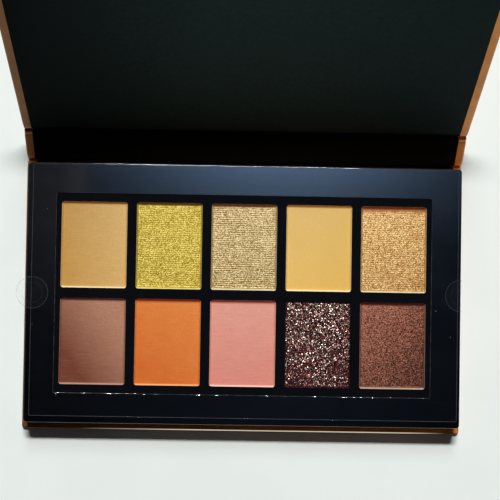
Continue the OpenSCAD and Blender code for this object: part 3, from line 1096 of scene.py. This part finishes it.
def floor():
    """A wide pale table top with a slight gloss."""
    s = Shader("table")
    grain = s.noise(40, 3, 0.5)
    s.set(base_color=s.ramp(grain, (0.3, (0.80, 0.855, 0.835)), (0.7, (0.83, 0.88, 0.86))), roughness=0.16,
          specular_ior_level=0.5, normal=s.bump(s.noise(25, 2), 0.0002, 0.1))
    mesh = bpy.data.meshes.new("table")
    corners = [(x * TABLE_REACH, y * TABLE_REACH, 0) for x, y in ((-1, -1), (1, -1), (1, 1), (-1, 1))]
    mesh.from_pydata(corners, [], [(0, 1, 2, 3)])
    mesh.materials.append(s.material)
    table = bpy.data.objects.new("table", mesh)
    bpy.context.scene.collection.objects.link(table)


def area_light(name, at, size, power, color):
    """A rectangular soft box that faces the middle of the table."""
    data = bpy.data.lights.new(name, "AREA")
    data.shape = "RECTANGLE"
    data.size, data.size_y = size
    data.energy = power
    data.color = color
    lamp = bpy.data.objects.new(name, data)
    lamp.location = Vector(at)
    lamp.rotation_euler = (-Vector(at)).to_track_quat("-Z", "Y").to_euler()
    bpy.context.scene.collection.objects.link(lamp)


# The glow's tint is brighter than white, because the border mirrors only a small part of it
GLOW_TINT = (0.68, 1.1, 1.8)
GLOW_MIDDLE = 0.035
GLOW_WIDTH = 0.085
GLOW_LEFT_EDGE = 0.088


def sky_glow(sky, sideways, backwards):
    """A tall blue glow high up and a little behind, with a dim strip left of it, for the border's gloss.

    sideways and backwards are slopes of a direction: how far it goes that way while it rises by one.
    """
    off_middle = sky.math("DIVIDE", sky.math("SUBTRACT", sideways, GLOW_MIDDLE), GLOW_WIDTH)
    across = sky.math("EXPONENT", sky.times(sky.times(off_middle, off_middle), -1.0))
    along = sky.math("DIVIDE", sky.plus(backwards, 0.06), 0.32)
    length = sky.ramp(along, (0.0, 0.02), (0.19, 0.05), (0.325, 0.14), (0.43, 0.6), (0.475, 1.0), (0.58, 1.0),
                      (0.75, 0.0))
    sharp_left = sky.ramp(sky.times(sky.plus(sideways, GLOW_LEFT_EDGE), 150.0), (0.0, 0.0), (1.0, 1.0))
    glow = sky.product(length, sharp_left, GLOW_TINT, across)
    strip = sky.ramp(sky.times(sky.plus(sideways, 0.14), 18.0), (0.0, (0.05, 0.046, 0.05)),
                     (0.68, (0.075, 0.072, 0.075)), (0.86, (0.17, 0.17, 0.175)), (0.93, (0.31, 0.312, 0.33)),
                     (0.96, 0.0))
    overhead = sky.ramp(sky.times(sky.plus(sideways, 0.5), 5.0), (0.0, 0.0), (1.0, 1.0))
    behind = sky.ramp(along, (0.15, 0.0), (0.375, 1.0), (0.58, 1.0), (0.75, 0.0))
    return sky.mix(1.0, glow, sky.product(strip, overhead, behind), "ADD")


def lights():
    """A softbox behind the palette, a wide dim one further back for the shadow's tail, and a dim sky."""
    area_light("key", (0.0, 1.1, 2.5), (0.55, 0.16), 65.0, (1.0, 0.995, 0.97))
    area_light("key_tail", (0.0, 1.65, 2.5), (0.55, 0.9), 22.0, (0.97, 1.0, 1.0))
    world = bpy.data.worlds.new("studio")
    world.use_nodes = True
    sky = Nodes(world.node_tree)
    direction = sky.axes(sky.tree.nodes.new("ShaderNodeTexCoord").outputs["Generated"])
    up = sky.math("MAXIMUM", direction["Z"], 0.05)
    sideways = sky.math("DIVIDE", direction["X"], up)
    backwards = sky.math("DIVIDE", direction["Y"], up)
    dome = sky.ramp(direction["Z"], (0.0, 0.05), (0.5, (0.035, 0.036, 0.037)), (0.85, (0.012, 0.013, 0.014)),
                    (0.985, (0.006, 0.008, 0.011)))
    from_front = sky.times(sky.plus(direction["Y"], 1.0), 0.5)
    dome = sky.product(dome, sky.ramp(from_front, (0.0, (0.36, 0.27, 0.14)), (0.5, 1.0)))
    light = sky.mix(1.0, dome, sky_glow(sky, sideways, backwards), "ADD")
    sky.link(light, sky.tree.nodes["Background"].inputs["Color"])
    bpy.context.scene.world = world


CAMERA_AT = (-0.00618, -0.00512, 0.54224)
CAMERA_TILT = math.radians(2.155)
CAMERA_PAN = math.radians(-0.88)
CAMERA_ROLL = math.radians(0.98)


def camera():
    """Looks down on the tray from above its middle, through a long lens."""
    data = bpy.data.cameras.new("camera")
    data.sensor_width = 36.0
    data.lens = 116.75
    data.clip_start, data.clip_end = 0.01, 20
    view = bpy.data.objects.new("camera", data)
    turn = Matrix.Rotation(CAMERA_TILT, 4, "X") @ Matrix.Rotation(CAMERA_PAN, 4, "Y")
    turn = turn @ Matrix.Rotation(CAMERA_ROLL, 4, "Z")
    view.matrix_world = Matrix.Translation(CAMERA_AT) @ turn
    bpy.context.scene.collection.objects.link(view)
    bpy.context.scene.camera = view


floor()
lights()
camera()
bpy.context.scene.view_settings.view_transform = "Standard"
